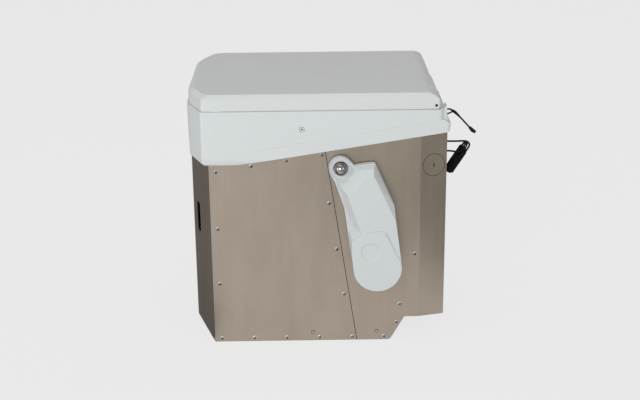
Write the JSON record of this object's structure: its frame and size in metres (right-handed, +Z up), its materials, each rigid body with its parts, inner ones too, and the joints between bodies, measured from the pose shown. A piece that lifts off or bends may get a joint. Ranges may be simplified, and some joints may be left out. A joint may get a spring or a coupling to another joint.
{
  "type": "composting toilet",
  "caption": "Urine-diverting composting toilet with steel casing, white seat top and lid, agitator lever on one side, vent fan and rear cables.",
  "frame": {"origin": "on the floor, on the centre line between the side walls, 230 mm ahead of the steel back wall", "axes": "+X towards the back, +Z up, the agitator lever is on the -Y side"},
  "size_m": [0.5122, 0.3971, 0.468],
  "materials": {
    "brushed_steel": "fine vertical brushing, satin",
    "dark_steel": "satin, inner faces",
    "white_plastic": "smooth, soft sheen",
    "lever_plastic": "smooth, soft sheen",
    "bottle_plastic": "milky, slightly translucent",
    "bin_plastic": "fine grain",
    "black_plastic": "satin",
    "black_rubber": "matt",
    "chrome": "polished",
    "zinc_steel": "bright zinc, satin"
  },
  "bodies": {
    "casing": {"front_wrap": "brushed_steel", "front_panel_near": "brushed_steel", "front_panel_far": "brushed_steel", "front_bulkhead": "dark_steel", "front_floor": "dark_steel", "rear_casing": "brushed_steel", "rear_bulkhead": "dark_steel", "rear_floor": "dark_steel", "panel_screws_near": "zinc_steel", "panel_screws_far": "zinc_steel", "rear_screws": "zinc_steel", "floor_rivets": "dark_steel", "urine_bottle": "bottle_plastic", "bottle_cap": "black_plastic", "bottle_funnel": "white_plastic", "solids_bin": "bin_plastic", "shaft_bush_near": "black_plastic", "shaft_bush_far": "black_plastic", "fan_frame": "black_plastic", "fan_screws": "zinc_steel", "top_hinge_leaf": "zinc_steel", "top_hinge_pin": "zinc_steel", "cable_grommets": "black_rubber", "upper_lead": "black_rubber", "lower_lead": "black_rubber", "cable_hank": "black_rubber", "hank_tie": "black_plastic"},
    "seat_top": {"top_hinge": "zinc_steel", "seat_base": "white_plastic", "base_screws": "white_plastic", "bowl_insert": "white_plastic", "bowl_seal": "black_rubber", "flap_hangers": "white_plastic", "hinge_lugs": "white_plastic", "lid_pins": "black_plastic", "cable_box": "white_plastic", "sensor_cable": "black_rubber", "sensor_lead": "black_rubber", "sensor_connector": "black_plastic"},
    "lid": {"lid": "white_plastic", "lid_pads": "white_plastic", "lid_stops": "white_plastic"},
    "flap": {"solids_flap": "white_plastic", "flap_shaft": "zinc_steel", "flap_weight": "zinc_steel"},
    "agitator": {"agitator_shaft": "zinc_steel", "agitator_paddles": "zinc_steel", "shaft_clips": "zinc_steel", "lever_housing": "lever_plastic", "hub_cover": "lever_plastic", "knob_stud": "chrome"},
    "knob": {"lever_knob": "chrome"},
    "rotor": {"fan_rotor": "black_plastic"},
    "vent_near": {"vent_plug_near": "brushed_steel"},
    "vent_far": {"vent_plug_far": "brushed_steel"}
  },
  "joints": [
    {"name": "lid_hinge", "type": "hinge", "parent": "seat_top", "child": "lid", "pos_m": [0.2085, 0, 0.4465], "axis": [0, 1, 0], "range_deg": [0, 95]},
    {"name": "seat_top_hinge", "type": "hinge", "parent": "casing", "child": "seat_top", "pos_m": [0.238, 0, 0.39757], "axis": [0, 1, 0], "range_deg": [0, 70]},
    {"name": "agitator_lever", "type": "hinge", "parent": "casing", "child": "agitator", "pos_m": [0.1055, 0, 0.157], "axis": [0, 1, 0], "range_deg": [-55, 60]},
    {"name": "knob_spin", "type": "hinge", "parent": "agitator", "child": "knob", "pos_m": [0.04078, -0.19, 0.33776], "axis": [0, 1, 0], "continuous": true},
    {"name": "solids_flap_hinge", "type": "hinge", "parent": "seat_top", "child": "flap", "pos_m": [0.108, 0, 0.34151], "axis": [0, -1, 0], "range_deg": [0, 65]},
    {"name": "fan_spin", "type": "hinge", "parent": "casing", "child": "rotor", "pos_m": [0.2125, 0, 0.285], "axis": [1, 0, 0], "continuous": true},
    {"name": "vent_near_turn", "type": "hinge", "parent": "casing", "child": "vent_near", "pos_m": [0.2065, -0.169, 0.336], "axis": [0.2474, -0.9689, 0], "range_deg": [0, 90]},
    {"name": "vent_far_turn", "type": "hinge", "parent": "casing", "child": "vent_far", "pos_m": [0.2065, 0.169, 0.336], "axis": [0.2474, 0.9689, 0], "range_deg": [0, 90]}
  ]
}
